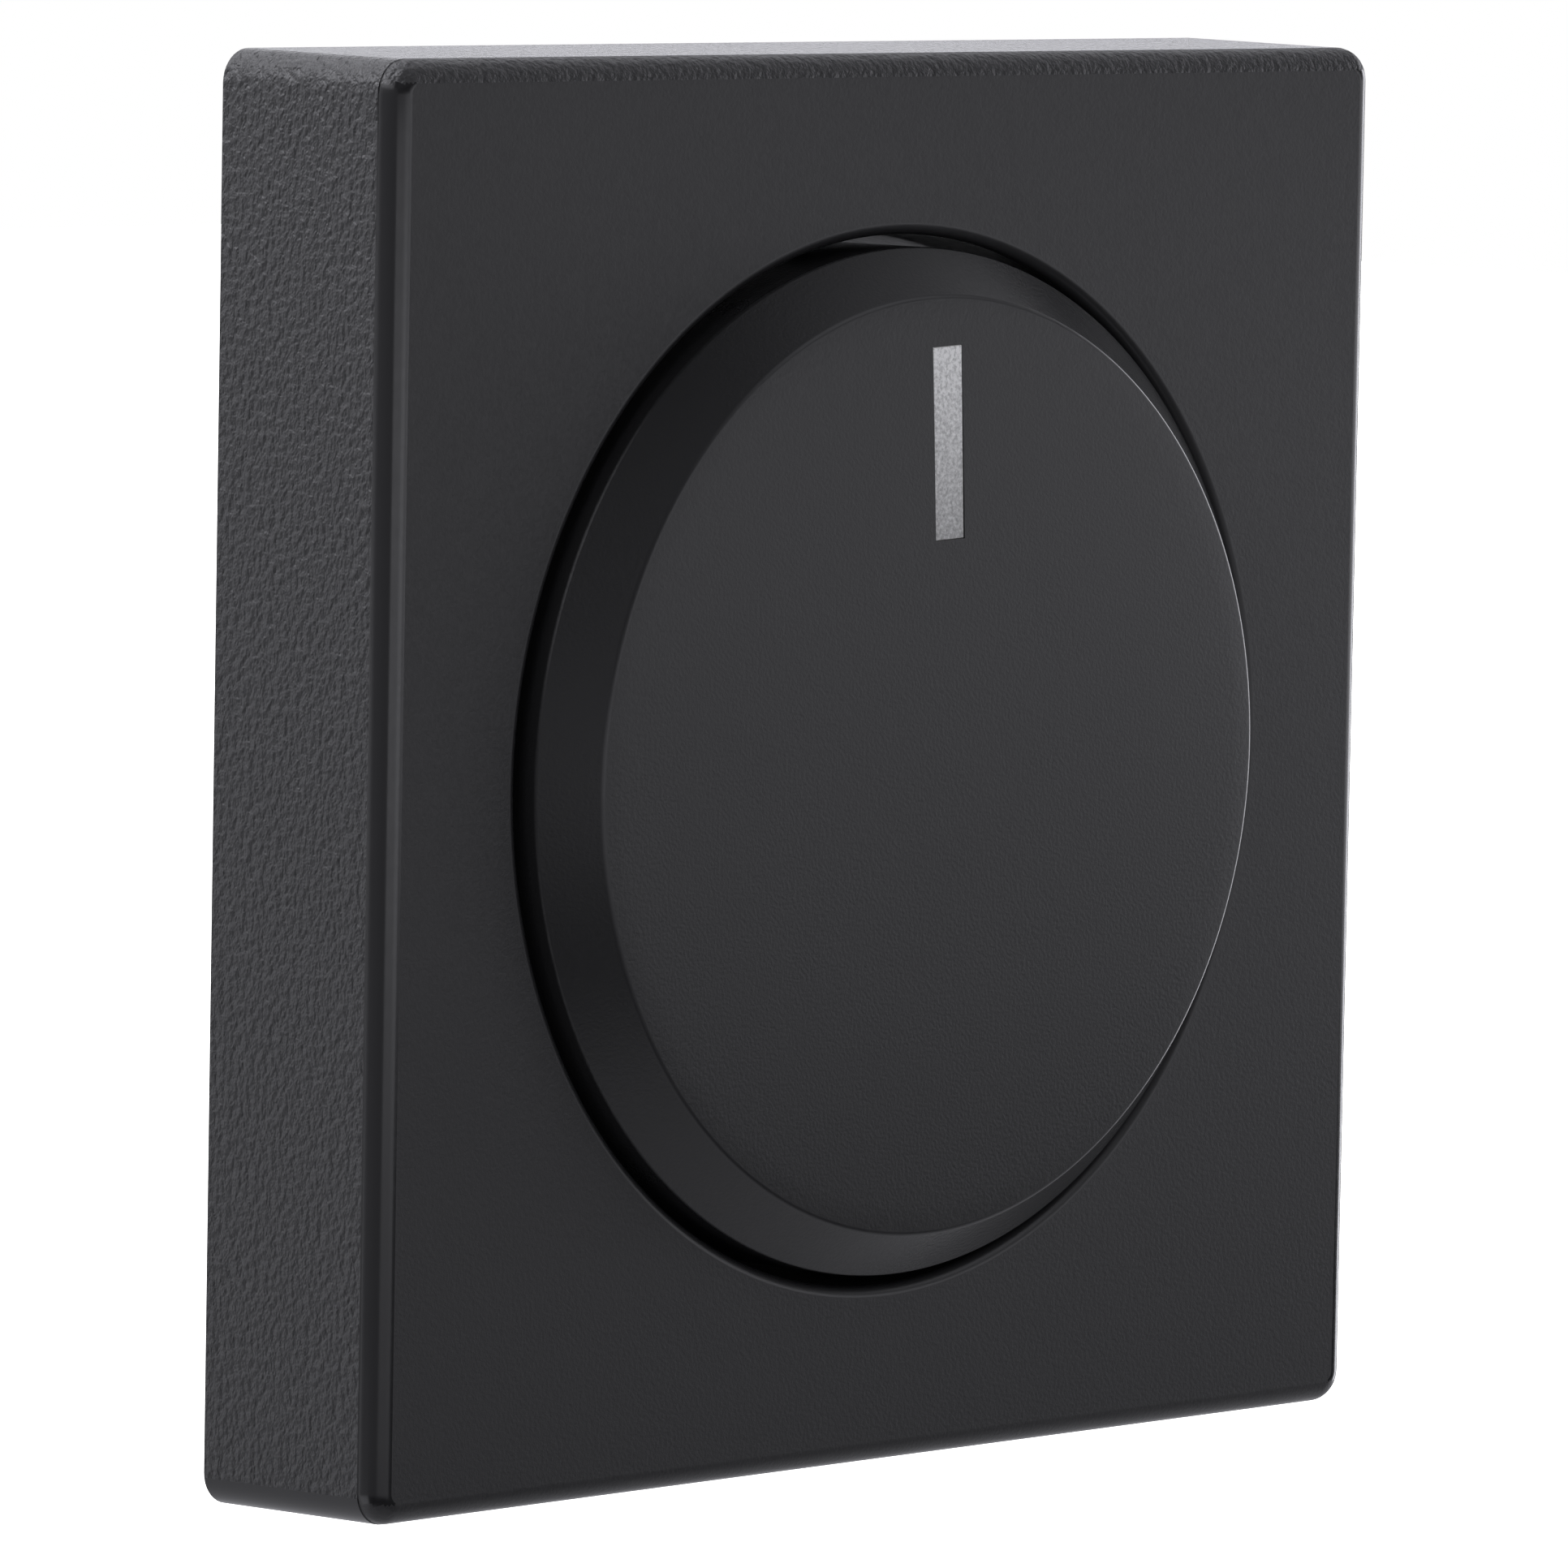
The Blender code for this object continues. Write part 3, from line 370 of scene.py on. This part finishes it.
def make_pointer_painted_glow_material():
    """As the light guide, with a painted glow: it glows faintly and is painted paler and glows more
    towards the knob's rim.
    """
    made, tree, shader = nodes_of("pointer_window")
    sparkle = ranged(tree, noise(tree, SPARKLE_SCALE, 3, 0.6), 0.6, 1.3, *NOISE_SPAN)
    coordinates = add(tree, "ShaderNodeTexCoord")
    parts = add(tree, "ShaderNodeSeparateXYZ")
    tree.links.new(coordinates.outputs["Object"], parts.inputs["Vector"])
    middle, half = POINTER_MIDDLE, POINTER_LENGTH / 2
    painted_glow_ramp = ranged(tree, parts.outputs["Z"], 0.45, 0.9, middle - half, middle + half)
    product = add(tree, "ShaderNodeMath", operation="MULTIPLY")
    tree.links.new(sparkle, product.inputs[0])
    tree.links.new(painted_glow_ramp, product.inputs[1])
    painted_glow_tint = coloured(tree, product.outputs["Value"], (0, 0, 0), (1, 1, 1))
    tree.links.new(painted_glow_tint, shader.inputs["Base Color"])
    tree.links.new(painted_glow_tint, shader.inputs["Emission Color"])
    # Painted glow: the window glows though no lamp lights it.
    shader.inputs["Emission Strength"].default_value = 0.1
    shader.inputs["Roughness"].default_value = 0.45
    bump(tree, shader, sparkle, 1.0, 0.012 * MM)
    return made


# The pointer window's look, with its painted glow.
POINTER_PAINTED_GLOW = make_pointer_painted_glow_material()


# ---------------------------------------------------------------- cover plate

def square_ring(half, corner, height):
    """Points round a square with rounded corners, in step with circle_ring."""
    reach = half - corner
    limit = math.atan2(reach, half)
    points = []
    for turn in range(4):
        spin = Matrix.Rotation(turn * math.pi / 2, 3, "Z")
        for i in range(SIDE_STEPS):
            angle = -limit + 2 * limit * i / SIDE_STEPS
            points.append(spin @ Vector((half, half * math.tan(angle), height)))
        for i in range(CORNER_STEPS):
            angle = math.pi / 2 * i / CORNER_STEPS
            points.append(spin @ Vector((reach + corner * math.cos(angle),
                                         reach + corner * math.sin(angle), height)))
    return points


def side_ring(height):
    half = PLATE_HALF + PLATE_LEAN * (1 - height / PLATE_DEPTH)
    return square_ring(half, CORNER_RADIUS, height)


def circle_ring(radius, height):
    guide = square_ring(PLATE_HALF, CORNER_RADIUS, height)
    return [Vector((p.x, p.y, 0)).normalized() * radius + Vector((0, 0, height))
            for p in guide]


CEILING = PLATE_DEPTH - PLATE_FRONT_WALL
STEP_HEIGHT = PLATE_DEPTH - FRONT_RADIUS - GRAIN_RELIEF  # front end of the etched sides


def plate_rings():
    """Rings from the opening's wall over the front and the sides to the inside and the collar."""
    rings = [circle_ring(OPENING_RADIUS, COLLAR_REAR), circle_ring(OPENING_RADIUS, CEILING / 2)]
    rings += [circle_ring(radius, height) for radius, height in
              arc(OPENING_EDGE, OPENING_RADIUS + OPENING_EDGE, PLATE_DEPTH - OPENING_EDGE, 180, 90, 6)]
    narrower = Matrix.Diagonal((1 - GRAIN_RELIEF / PLATE_HALF, 1, 1))
    for distance, height in arc(FRONT_RADIUS, 0, PLATE_DEPTH - FRONT_RADIUS, 90, 0, 10):
        out = FRONT_RADIUS - distance
        rings.append([narrower @ point for point in
                      square_ring(PLATE_HALF - out, CORNER_RADIUS - out, height)])
    inner_half = PLATE_HALF - PLATE_SIDE_WALL
    rings += [side_ring(STEP_HEIGHT), side_ring(REAR_EDGE),
              square_ring(PLATE_REAR_HALF - REAR_EDGE, CORNER_RADIUS - REAR_EDGE, 0),
              square_ring(inner_half + REAR_EDGE, CORNER_RADIUS / 2, 0),
              square_ring(inner_half, CORNER_RADIUS / 2, REAR_EDGE),
              square_ring(inner_half, CORNER_RADIUS / 2, CEILING - INNER_FILLET),
              square_ring(inner_half - INNER_FILLET, CORNER_RADIUS / 3, CEILING)]
    collar = OPENING_RADIUS + COLLAR_WALL
    rings += [circle_ring(collar + COLLAR_FILLET, CEILING),
              circle_ring(collar, CEILING - COLLAR_FILLET),
              circle_ring(collar, COLLAR_REAR + SMALL_EDGE),
              circle_ring(collar - SMALL_EDGE, COLLAR_REAR),
              circle_ring(OPENING_RADIUS + SMALL_EDGE, COLLAR_REAR)]
    return rings


def make_cover_plate():
    plate = new_piece("cover_plate_shell", loft(plate_rings()))
    bosses = bmesh.new()
    cuts = bmesh.new()
    middle = (OPENING_RADIUS + COLLAR_WALL / 2) * math.sqrt(0.5)
    for x, y in DIAGONALS:
        where = {"x": x * SCREW_PLACE, "y": y * SCREW_PLACE}
        add_cylinder(bosses, BOSS_RADIUS, ARM_TOP + BOSS_GAP, CEILING + OVERLAP, **where)
        add_cylinder(cuts, PILOT_RADIUS, 0, CEILING - PILOT_CAP, **where)
        add_box(cuts, 5 * COLLAR_WALL, ARM_WIDTH, 0, ARM_TOP + ARM_GAP, x * middle, y * middle,
                math.atan2(y, x))
    carve(plate, bosses, "UNION")
    carve(plate, cuts)
    paint_plate(plate)
    plate.data.set_sharp_from_angle(angle=math.radians(SHARP_ANGLE))
    weighted(plate)
    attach(plate, "module")
    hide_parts("cover_plate")


def plate_look(centre, normal):
    """Fine matt front, smooth upright roundings, etched sides, an etched top edge painted lighter
    where light falls on it, plain behind.
    """
    height = -centre.y
    outward = max(abs(centre.x), abs(centre.z))
    corner = CORNER_RADIUS if abs(normal.y) < 0.1 else 0
    if outward > PLATE_HALF - HAIR - corner and height < STEP_HEIGHT and abs(normal.y) < 0.5:
        return SMOOTH if normal.z < -0.2 else ETCHED
    if height > PLATE_DEPTH - THIN_HAIR:
        return FINE_MATT
    # The top edge's rounding gets the lighter etched copy as painted light; the bottom one stays fine
    # matt.
    if height > STEP_HEIGHT and abs(centre.z) > PLATE_HALF - FRONT_RADIUS:
        return ETCHED_TOP_PAINTED_LIGHT if centre.z > 0 else FINE_MATT
    if height > STEP_HEIGHT - THINNEST_HAIR and outward > OPENING_RADIUS + 2 * OPENING_EDGE:
        return SMOOTH
    radius = math.hypot(centre.x, centre.z)
    if radius < OPENING_RADIUS + OPENING_EDGE and height > PLATE_DEPTH - OPENING_EDGE:
        return SATIN
    return MOULDED_BACK


def paint_plate(plate):
    looks = [FINE_MATT, SMOOTH, ETCHED, MOULDED_BACK, ETCHED_TOP_PAINTED_LIGHT, SATIN]
    for look in looks:
        plate.data.materials.append(look)
    for face in plate.data.polygons:
        face.material_index = looks.index(plate_look(face.center, face.normal))


# ---------------------------------------------------------------- knob and pointer

INSIDE = KNOB_FACE_HEIGHT - KNOB_WALL


def knob_profile():
    """Half the knob's section from the middle of its face, and the points of the face's edge."""
    slope = math.degrees(math.atan2(KNOB_RADIUS - KNOB_FACE_RADIUS,
                                    KNOB_FACE_HEIGHT - KNOB_RIM_HEIGHT))
    face = [(0, KNOB_FACE_HEIGHT)]
    face += [(KNOB_FACE_RADIUS * part, KNOB_FACE_HEIGHT - KNOB_CROWN * part ** 4)
             for part in CROWN_PARTS]
    face_edge = arc(KNOB_EDGE, KNOB_FACE_RADIUS - KNOB_EDGE,
                    KNOB_FACE_HEIGHT - KNOB_CROWN - KNOB_EDGE, 88, slope, 6)
    rim = arc(KNOB_EDGE, KNOB_RADIUS - KNOB_EDGE, KNOB_RIM_HEIGHT, slope, 0, 5)
    inner_radius = KNOB_RADIUS - KNOB_WALL
    behind = [(KNOB_RADIUS, KNOB_SKIRT_REAR + SMALL_EDGE),
              (KNOB_RADIUS - SMALL_EDGE, KNOB_SKIRT_REAR),
              (inner_radius + SMALL_EDGE, KNOB_SKIRT_REAR),
              (inner_radius, KNOB_SKIRT_REAR + SMALL_EDGE),
              (inner_radius, KNOB_RIM_HEIGHT - KNOB_WALL / 2),
              (KNOB_FACE_RADIUS - KNOB_WALL / 2, INSIDE),
              (HUB_RADIUS + HUB_FILLET, INSIDE), (HUB_RADIUS, INSIDE - HUB_FILLET),
              (HUB_RADIUS, HUB_REAR + HUB_EDGE), (HUB_RADIUS - HUB_EDGE, HUB_REAR),
              (0, HUB_REAR)]
    return face + face_edge + rim + behind, face_edge


def make_knob():
    profile, face_edge = knob_profile()
    knob = new_piece("knob_cap_turned", lathe(profile, KNOB_STEPS))
    bore = bmesh.new()
    add_cylinder(bore, SHAFT_BORE, HUB_REAR - CLEAR, INSIDE - BORE_CAP, segments=64)
    carve(knob, bore)
    slit = bmesh.new()
    add_box(slit, HUB_SLIT, 3 * HUB_RADIUS, HUB_REAR - CLEAR, INSIDE - SLIT_CAP)
    carve(knob, slit)
    window = bmesh.new()
    add_box(window, POINTER_WIDTH + 2 * POINTER_SEAM, POINTER_LENGTH + 2 * POINTER_SEAM,
            INSIDE - CLEAR, KNOB_FACE_HEIGHT + CLEAR, POINTER_OFFSET, POINTER_MIDDLE, POINTER_LEAN)
    carve(knob, window)
    paint_knob(knob, face_edge)
    knob.data.set_sharp_from_angle(angle=math.radians(KNOB_SHARP_ANGLE))
    weighted(knob)
    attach(knob, "knob")
    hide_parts("knob_cap")


def paint_knob(knob, face_edge):
    """Matt all over, with a satin rounding at the face's edge."""
    looks = [KNOB_MATT, SATIN]
    for look in looks:
        knob.data.materials.append(look)
    edge_start, edge_rear = face_edge[0][0] * EDGE_START, face_edge[-1][1]
    for face in knob.data.polygons:
        on_edge = math.hypot(face.center.x, face.center.z) > edge_start \
            and -face.center.y > edge_rear
        face.material_index = looks.index(SATIN if on_edge else KNOB_MATT)


def make_pointer():
    shape = bmesh.new()
    add_box(shape, POINTER_WIDTH, POINTER_LENGTH, INSIDE - OVERLAP, KNOB_FACE_HEIGHT - POINTER_SUNK,
            POINTER_OFFSET, POINTER_MIDDLE, POINTER_LEAN)
    top = KNOB_FACE_HEIGHT - POINTER_SUNK - HAIR
    edges = [edge for edge in shape.edges if min(v.co.z for v in edge.verts) > top]
    bmesh.ops.bevel(shape, geom=edges, offset=POINTER_EDGE, segments=2, affect="EDGES",
                    profile=0.5)
    pointer = new_piece("pointer_window_bar", shape)
    flange = bmesh.new()
    add_box(flange, lens_high.x - lens_low.x, lens_high.z - lens_low.z, -lens_high.y,
            INSIDE - FLANGE_GAP, y=POINTER_MIDDLE)
    carve(pointer, flange, "UNION")
    pointer.data.materials.append(POINTER_PAINTED_GLOW)
    weighted(pointer)
    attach(pointer, "knob")
    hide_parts("pointer_lens")


# ---------------------------------------------------------------- carried-over nodes

LOOKS = {
    STEEL: ["shaft", "shaft_clip", "potentiometer_can", "capacitor", "rear_screw_1",
            "rear_screw_2", "rear_screw_3", "rear_screw_4", "plate_screw_1", "plate_screw_2",
            "plate_screw_3", "plate_screw_4"],
    SPRING_STEEL: ["hub_tension_ring", "retaining_spring_1", "retaining_spring_2",
                   "retaining_spring_3", "retaining_spring_4"],
    BRASS: ["shaft_bush", "wiper_contact"],
    BLACK: ["wiper_rotor", "switch_plunger", "connector_header", "control_chip"],
    GREY: ["module_housing", "rear_cover", "switch_body"],
    TIN: ["potentiometer_terminal_1", "potentiometer_terminal_2", "potentiometer_terminal_3",
          "connector_pin_1", "connector_pin_2", "connector_pin_3", "connector_pin_4",
          "connector_pin_5", "connector_pin_6"],
    BOARD: ["circuit_board"],
    PHENOLIC: ["track_board"],
    CARBON: ["resistance_track"],
    LIGHT_GUIDE: ["light_ring"],
    LAMP: ["led_1", "led_2", "led_3", "led_4"],
}


def finish_carried_nodes():
    for look, names in LOOKS.items():
        for name in names:
            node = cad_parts[name]
            node.data.materials.clear()
            node.data.materials.append(look)
            node.data.shade_smooth()
            node.data.set_sharp_from_angle(angle=math.radians(SHARP_ANGLE))


# ---------------------------------------------------------------- studio

# These values are the result of a least-squares fit of the camera to the outlines in the photo.
CAMERA_AZIMUTH = math.radians(-46.006)
CAMERA_ELEVATION = math.radians(5.187)
CAMERA_ROLL = math.radians(1.035)
CAMERA_PLACE = Vector((-335.86, -327.48, 40.71)) * MM
CAMERA_LENS = 274.18
CAMERA_SENSOR = 36
CAMERA_SHIFT = (0.0014, 0.0058)


def make_camera():
    back = Vector((math.sin(CAMERA_AZIMUTH) * math.cos(CAMERA_ELEVATION),
                   -math.cos(CAMERA_AZIMUTH) * math.cos(CAMERA_ELEVATION),
                   math.sin(CAMERA_ELEVATION)))
    right = (-back).cross(Vector((0, 0, 1))).normalized()
    up = right.cross(-back)
    turned = Matrix((right, up, back)).transposed().to_4x4() @ Matrix.Rotation(CAMERA_ROLL, 4, "Z")
    data = bpy.data.cameras.new("photo_view")
    data.lens = CAMERA_LENS
    data.sensor_width = CAMERA_SENSOR
    data.shift_x, data.shift_y = CAMERA_SHIFT
    data.clip_start = 0.01
    data.clip_end = 50
    camera = bpy.data.objects.new("photo_view", data)
    camera.matrix_world = Matrix.Translation(CAMERA_PLACE) @ turned
    bpy.context.scene.collection.objects.link(camera)
    bpy.context.scene.camera = camera


# A tent of glowing panels round the object, which the camera looks through. Azimuths run from
# straight in front (0) to the right (90), elevations from the floor (-90) to the top (90).
# Each panel has its azimuths, its elevations and its brightness. The directions were chosen one by
# one. The brightnesses began as a least-squares fit to the photo's tones, then were rounded and
# changed one by one.
TENT_RADIUS = 0.3
SHELL_RADIUS = 0.32
NEAR_RADIUS = 0.12
TENT_CENTRE = Vector((0, -PLATE_DEPTH / 2, 0))
TENT_PANELS = {
    "backdrop": ((100, 240), (4, 90), 1.0),
    "backdrop_left_foot": ((170, 240), (-20, 4), 1.0),
    "backdrop_foot": ((100, 240), (-90, -20), 0.6),
    "right_lamp": ((80, 100), (-20, 20), 4.0),
    "right_upper": ((80, 100), (20, 60), 0.6),
    "right_strip": ((60, 80), (-8, 4), 1.6),
    "right_foot": ((60, 100), (-45, -20), 0.6),
    "front_right_strip": ((20, 60), (-7, 8), 1.2),
    "front_right_upper": ((20, 60), (20, 60), 0.9),
    "front_lamp": ((0, 20), (-8, 4), 1.9),
    "front_strip": ((-40, 0), (-8, 4), 1.4),
    "front_low": ((-40, 20), (-20, -8), 0.5),
    "front_upper": ((-40, 20), (20, 60), 0.15),
    "left_fill": ((-120, -40), (-20, 20), 0.25),
    "left_foot": ((-120, -80), (-45, -20), 1.1),
    "left_upper": ((-120, -60), (20, 60), 1.4),
    "foreground": ((-120, 100), (-90, -45), 0.5),
}
NEAR_PANEL = ((-150, -90), (35, 75), 5.0)  # lights the left side from above
LIGHT_TINT = (0.99, 0.99, 1.05)
PANEL_STEP = 10  # degrees
SAME_PLACE = 1e-6
FLOOR_HEIGHT = -0.7
FLOOR_SIDE = 24.0


def tent_point(radius, azimuth, elevation):
    across, up = math.radians(azimuth), math.radians(elevation)
    return TENT_CENTRE + radius * Vector((math.sin(across) * math.cos(up),
                                          -math.cos(across) * math.cos(up), math.sin(up)))


def glowing(name, colour, strength):
    """A pale surface that also glows."""
    made, tree, shader = nodes_of(name)
    blotches = noise(tree, 3, 2)
    pale = tuple(0.98 * c for c in colour)
    tree.links.new(coloured(tree, blotches, pale, colour), shader.inputs["Base Color"])
    tree.links.new(coloured(tree, blotches, pale, colour), shader.inputs["Emission Color"])
    shader.inputs["Emission Strength"].default_value = strength
    shader.inputs["Roughness"].default_value = 1.0
    shader.inputs["Specular IOR Level"].default_value = 0.0
    return made


def panel_cloth(name, brightness):
    """Black cloth with the panel's light on it."""
    made, tree, shader = nodes_of(name)
    shader.inputs["Base Color"].default_value = (0, 0, 0, 1)
    shader.inputs["Specular IOR Level"].default_value = 0.0
    shader.inputs["Emission Color"].default_value = (*LIGHT_TINT, 1)
    shader.inputs["Emission Strength"].default_value = brightness
    return made


def make_panel(name, radius, azimuths, elevations, brightness):
    shape = bmesh.new()
    columns = max(1, (azimuths[1] - azimuths[0]) // PANEL_STEP)
    rows = max(1, (elevations[1] - elevations[0]) // PANEL_STEP)
    width = (azimuths[1] - azimuths[0]) / columns
    rise = (elevations[1] - elevations[0]) / rows
    grid = [[shape.verts.new(tent_point(radius, azimuths[0] + width * i, elevations[0] + rise * j))
             for j in range(rows + 1)] for i in range(columns + 1)]
    for i in range(columns):
        for j in range(rows):
            shape.faces.new((grid[i][j], grid[i + 1][j], grid[i + 1][j + 1], grid[i][j + 1]))
    bmesh.ops.remove_doubles(shape, verts=shape.verts, dist=SAME_PLACE)
    mesh = bpy.data.meshes.new("tent_" + name)
    shape.to_mesh(mesh)
    shape.free()
    mesh.materials.append(panel_cloth("glow_" + name, brightness))
    panel = bpy.data.objects.new("tent_" + name, mesh)
    panel.visible_camera = False
    bpy.context.scene.collection.objects.link(panel)


def make_tent():
    make_panel("black_shell", SHELL_RADIUS, (-180, 180), (-90, 90), 0.0)
    make_panel("near", NEAR_RADIUS, *NEAR_PANEL)
    for name, placing in TENT_PANELS.items():
        make_panel(name, TENT_RADIUS, *placing)


def make_floor():
    shape = bmesh.new()
    bmesh.ops.create_grid(shape, x_segments=8, y_segments=8, size=FLOOR_SIDE / 2)
    mesh = bpy.data.meshes.new("floor")
    shape.to_mesh(mesh)
    shape.free()
    mesh.materials.append(glowing("pale_floor", (0.9, 0.9, 0.9), 1.3))
    floor = bpy.data.objects.new("floor", mesh)
    floor.location = (0, 0, FLOOR_HEIGHT)
    bpy.context.scene.collection.objects.link(floor)


def make_world():
    world = bpy.data.worlds.new("white_studio")
    world.use_nodes = True
    world.node_tree.nodes["Background"].inputs["Color"].default_value = (1, 1, 1, 1)
    world.node_tree.nodes["Background"].inputs["Strength"].default_value = 1.0
    bpy.context.scene.world = world
    bpy.context.scene.view_settings.view_transform = "Standard"


make_camera()
make_cover_plate()
make_knob()
make_pointer()
finish_carried_nodes()
make_world()
make_tent()
make_floor()
